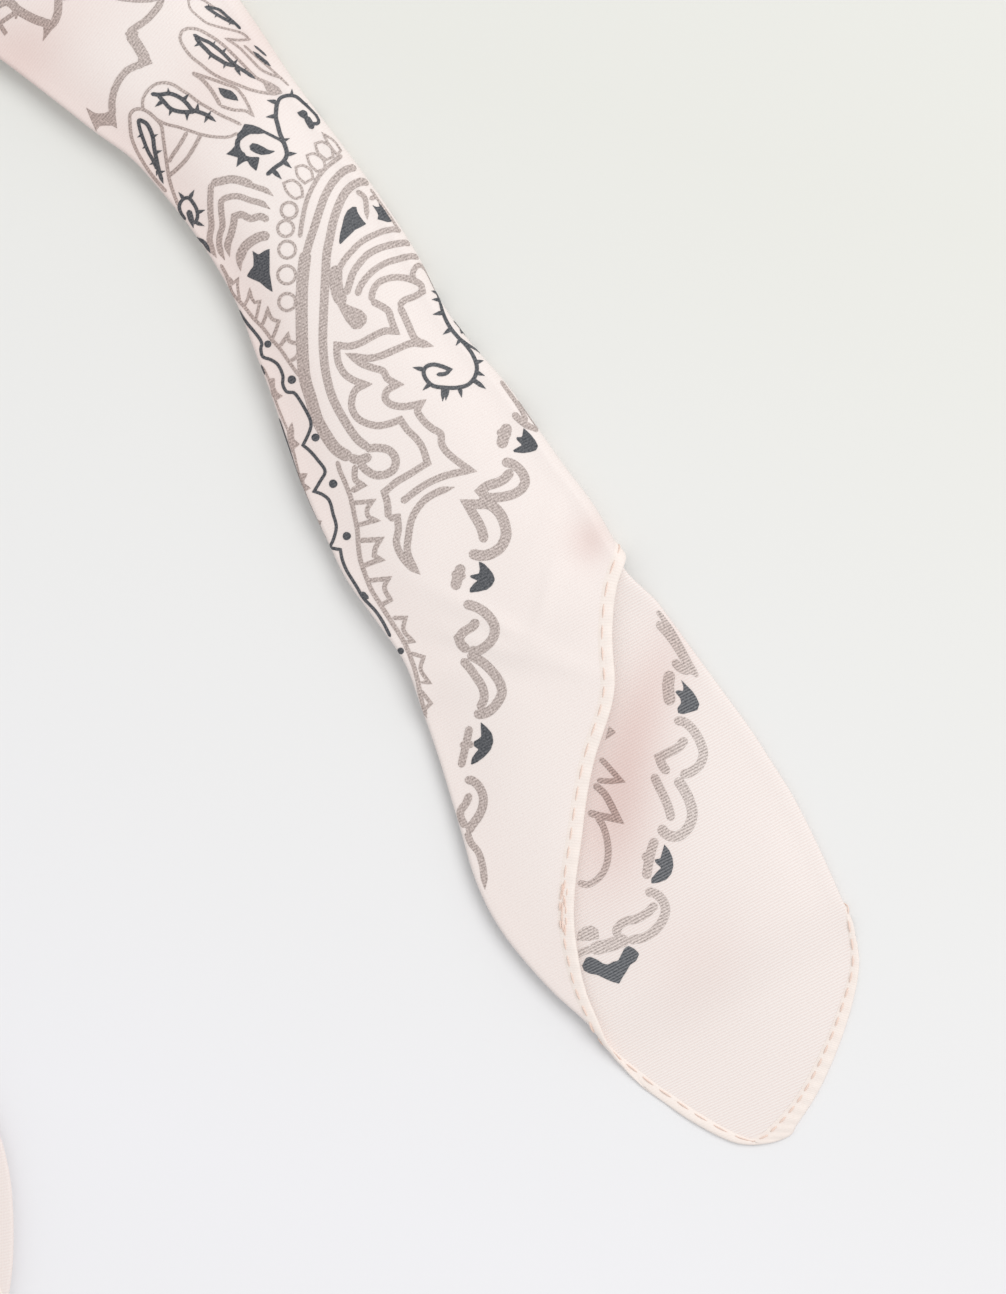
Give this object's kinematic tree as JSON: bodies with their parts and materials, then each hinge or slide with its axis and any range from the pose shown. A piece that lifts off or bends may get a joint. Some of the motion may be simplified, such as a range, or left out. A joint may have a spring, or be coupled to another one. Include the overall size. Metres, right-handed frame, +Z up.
{
  "type": "bandana scarf",
  "caption": "Pale pink satin square scarf with a paisley bandana print, folded on its diagonal into a band and laid flat in an arch with both hemmed tails open.",
  "frame": {"origin": "under the middle of the scarf's box, on the surface that it lies on", "axes": "+Z up off the surface, +Y from the open tails towards the closed end of the arch, +X towards the near tail"},
  "size_m": [0.278, 0.3634, 0.008],
  "materials": {
    "satin": "pale pink polyester satin, face side, soft sheen",
    "hem_satin": "narrow rolled hem of the same satin",
    "print_taupe": "taupe textile print, matt",
    "print_slate": "dark slate textile print, matt",
    "stitch_thread": "peach sewing thread, matt"
  },
  "bodies": {
    "root": {"folded_cloth": "satin", "near_tail_flap_hem": "hem_satin", "near_tail_side_hem": "hem_satin", "far_tail_flap_hem": "hem_satin", "far_tail_side_hem": "hem_satin"}
  },
  "joints": []
}
